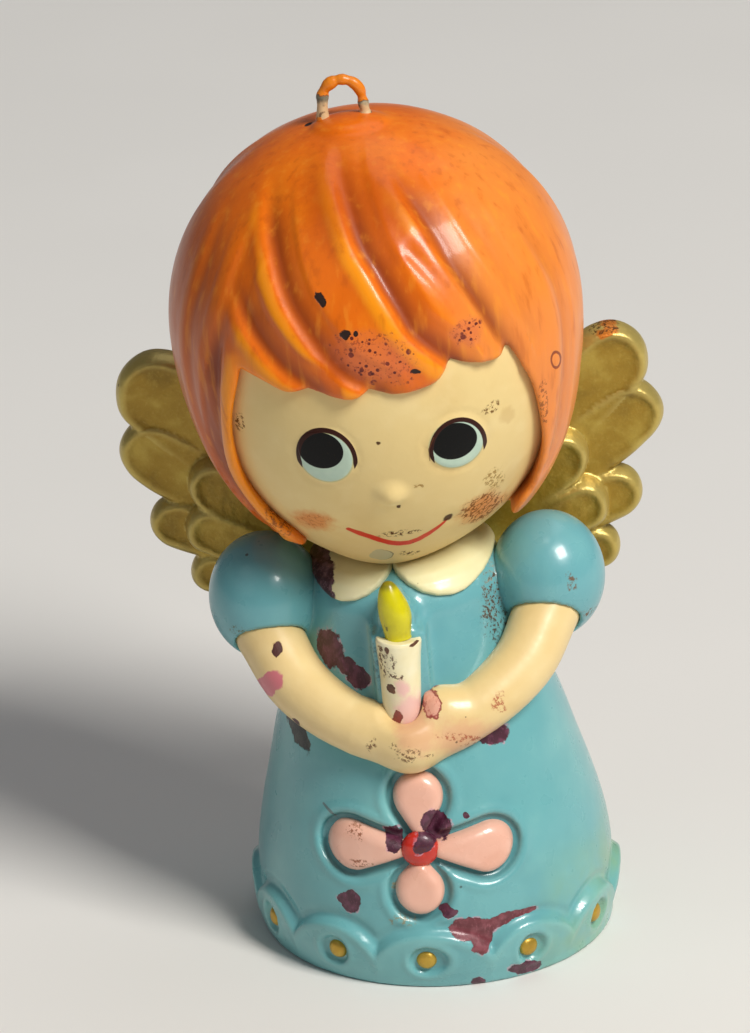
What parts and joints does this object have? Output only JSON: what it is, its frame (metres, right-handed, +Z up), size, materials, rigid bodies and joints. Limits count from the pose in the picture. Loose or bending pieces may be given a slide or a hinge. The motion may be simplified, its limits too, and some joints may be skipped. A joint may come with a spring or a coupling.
{
  "type": "hanging angel ornament",
  "caption": "Small moulded angel figure in a bell-shaped dress, holding a candle, with gold wings and a wire hanging loop in its crown.",
  "frame": {"origin": "on the table plane, at the middle of the dress's open base (within a millimetre)", "axes": "+Z up, the figure faces -Y, +X is the right side of someone facing it; the figure leans 4.3 degrees towards -X"},
  "size_m": [0.0617, 0.046, 0.1013],
  "materials": {
    "dress_paint": "glossy teal-blue paint over a dark red-brown moulding",
    "gold_paint": "satin old gold metallic paint",
    "petal_paint": "glossy pink paint",
    "red_paint": "glossy red paint",
    "candle_paint": "glossy cream paint",
    "flame_paint": "glossy yellow-green paint",
    "collar_paint": "glossy cream-white paint",
    "skin_paint": "glossy skin-tone paint",
    "black_paint": "glossy black paint",
    "eye_paint": "glossy pale green-white paint",
    "hair_paint": "glossy orange paint with brown shading in the grooves",
    "wire": "dulled steel wire with orange paint over its top"
  },
  "bodies": {
    "root": {"dress_shell": "dress_paint", "hem_scallop_band": "dress_paint", "hem_studs": "gold_paint", "flower_petal_top": "petal_paint", "flower_petal_bottom": "petal_paint", "flower_petal_left": "petal_paint", "flower_petal_right": "petal_paint", "flower_centre_bead": "red_paint", "candle_stick": "candle_paint", "candle_flame": "flame_paint", "collar_left": "collar_paint", "collar_right": "collar_paint", "sleeve_left": "dress_paint", "sleeve_right": "dress_paint", "forearm_left": "skin_paint", "forearm_right": "skin_paint", "pupil_left": "black_paint", "pupil_right": "black_paint", "eye_white_left": "eye_paint", "eye_white_right": "eye_paint", "wing_left": "gold_paint", "wing_right": "gold_paint", "head_shell": "skin_paint", "hair_cap": "hair_paint", "hanging_loop": "wire"}
  },
  "joints": []
}
